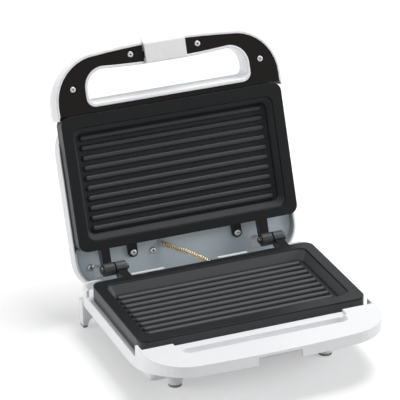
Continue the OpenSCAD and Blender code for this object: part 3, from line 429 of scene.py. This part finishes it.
def screw_set(name, node, places, z, head_r, head_h, shank):
    """Pan-head screws in the lid, heads to the front, each with a cross recess and a shank."""
    vertices, faces, dark = [], [], []
    for x, f in places:
        start = len(vertices)
        levels = [("shank", shank, SHANK_R), ("shank", 0.0, SHANK_R), ("head", 0.0, head_r),
                  ("head", 0.35 * head_h, head_r), ("head", 0.7 * head_h, 0.93 * head_r),
                  ("head", 0.92 * head_h, 0.78 * head_r), ("head", head_h, 0.62 * head_r),
                  ("cross", head_h, 1.0), ("cross", 0.2 * head_h, 0.8)]
        for kind, depth, r in levels:
            for k in range(AROUND):
                a = 2 * math.pi * k / AROUND
                radius = cross_recess(a, head_r) * r if kind == "cross" else r
                height = z + depth if kind == "shank" else z - depth
                vertices.append(lid_point(x + radius * math.cos(a), f + radius * math.sin(a), height))
        for i in range(len(levels) - 1):
            for k in range(AROUND):
                a, b = start + i * AROUND + k, start + i * AROUND + (k + 1) % AROUND
                faces.append((a, b, b + AROUND, a + AROUND))
                dark.append(i == len(levels) - 2)
        faces.append(tuple(start + k for k in range(AROUND - 1, -1, -1)))
        dark.append(False)
        faces.append(tuple(start + (len(levels) - 1) * AROUND + k for k in range(AROUND)))
        dark.append(True)
    obj = new_object(name, vertices, faces, M["steel"], SLOT[node])
    # The cross recess faces get the near-black recess material: painted shade in the hollow of the steel head.
    obj.data.materials.append(M["recess"])
    for polygon, is_dark in zip(obj.data.polygons, dark):
        polygon.material_index = int(is_dark)
    smooth(obj, 35.0)
    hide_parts(node)
    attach(obj, "lid")
    return obj


screw_set("panel_screw_heads", "panel_screws", [(-96.5, 175), (96.5, 175), (-34.5, 199.3), (34.5, 199.3)],
          1.45, 2.9, 1.0, 9)
screw_set("lug_screw_heads", "lug_screws", [(-54.5, 9.5), (54.5, 9.5)], 18.85, 3.4, 2.0, 11.3)
screw_set("floor_screw_heads", "floor_screws", [(-98.6, 1.8), (-33.4, 7.2)], 21.95, 3.4, 1.8, 9)

# Studio


def floor_material():
    """Pale paper: what the camera sees of it is lifted to white, and it keeps the shadow."""
    g = Graph("studio_paper")
    tone = g.mix(g.span(g.noise(6.0, 2.0), 0.3, 0.7), rgb(0.80, 0.80, 0.80), rgb(0.78, 0.78, 0.78))
    body = g.shader(tone, 0.9, Specular_IOR_Level=0.1)
    path = g.add("ShaderNodeLightPath")
    seen = g.math("MAXIMUM", path.outputs["Is Camera Ray"], path.outputs["Is Glossy Ray"])
    seen = g.math("MAXIMUM", seen, path.outputs["Is Transmission Ray"])
    body.inputs["Emission Color"].default_value = rgb(1.0, 1.0, 1.0)
    g.link(g.math("MULTIPLY", seen, PAPER_LIFT), body.inputs["Emission Strength"])
    return g.mat


bpy.ops.mesh.primitive_plane_add(size=12.0, location=(0, 0, -0.0001))
floor = bpy.context.object
floor.name = "studio_floor"
floor.data.materials.append(floor_material())

world = bpy.data.worlds.new("studio")
bpy.context.scene.world = world
world.use_nodes = True
tree = world.node_tree
tree.nodes.clear()
path = tree.nodes.new("ShaderNodeLightPath")
seen = tree.nodes.new("ShaderNodeMath")
seen.operation = "MAXIMUM"
tree.links.new(path.outputs["Is Camera Ray"], seen.inputs[0])
tree.links.new(path.outputs["Is Glossy Ray"], seen.inputs[1])
seen2 = tree.nodes.new("ShaderNodeMath")
seen2.operation = "MAXIMUM"
tree.links.new(seen.outputs[0], seen2.inputs[0])
tree.links.new(path.outputs["Is Transmission Ray"], seen2.inputs[1])
level = tree.nodes.new("ShaderNodeMapRange")
level.inputs["To Min"].default_value = WORLD_LEVEL
level.inputs["To Max"].default_value = 1.0
tree.links.new(seen2.outputs[0], level.inputs["Value"])
back = tree.nodes.new("ShaderNodeBackground")
back.inputs["Color"].default_value = rgb(1.0, 1.0, 1.0)
tree.links.new(level.outputs[0], back.inputs["Strength"])
out = tree.nodes.new("ShaderNodeOutputWorld")
tree.links.new(back.outputs[0], out.inputs["Surface"])


def lamp(name, place, size, share, target=(0, 0, 0.08)):
    """Square soft lamp that adds share of plain white to a surface facing it."""
    distance = (Vector(place) - Vector(target)).length
    data = bpy.data.lights.new(name, "AREA")
    data.shape = "SQUARE"
    data.size = size
    data.energy = share * math.pi ** 2 * distance ** 2
    obj = bpy.data.objects.new(name, data)
    bpy.context.scene.collection.objects.link(obj)
    obj.location = place
    obj.rotation_euler = (Vector(target) - Vector(place)).to_track_quat("-Z", "Y").to_euler()


lamp("lamp_top", (0.6, 0.2, 2.2), 1.0, 0.66)
lamp("lamp_left", (-2.2, 0.5, 0.35), 1.0, 0.38)
lamp("lamp_right", (2.0, -1.0, 0.9), 1.0, 0.26)

# Camera

back = Vector((math.sin(AZIMUTH) * math.cos(ELEVATION), -math.cos(AZIMUTH) * math.cos(ELEVATION),
               math.sin(ELEVATION)))
level_x = Vector((math.cos(AZIMUTH), math.sin(AZIMUTH), 0))
level_y = back.cross(level_x)
right = math.cos(ROLL) * level_x + math.sin(ROLL) * level_y
up = -math.sin(ROLL) * level_x + math.cos(ROLL) * level_y
camera_data = bpy.data.cameras.new("photo_view")
camera_data.sensor_fit = "HORIZONTAL"
camera_data.sensor_width = SENSOR_MM
camera_data.lens = FOCAL_PX * SENSOR_MM / PHOTO_PX
camera_data.clip_start, camera_data.clip_end = 0.1, 30.0
camera = bpy.data.objects.new("photo_view", camera_data)
bpy.context.scene.collection.objects.link(camera)
turn = Matrix((right, up, back)).transposed().to_4x4()
camera.matrix_world = Matrix.Translation(HINGE + Vector(CAMERA_MM) * MM) @ turn
bpy.context.scene.camera = camera
bpy.context.scene.view_settings.view_transform = "Standard"
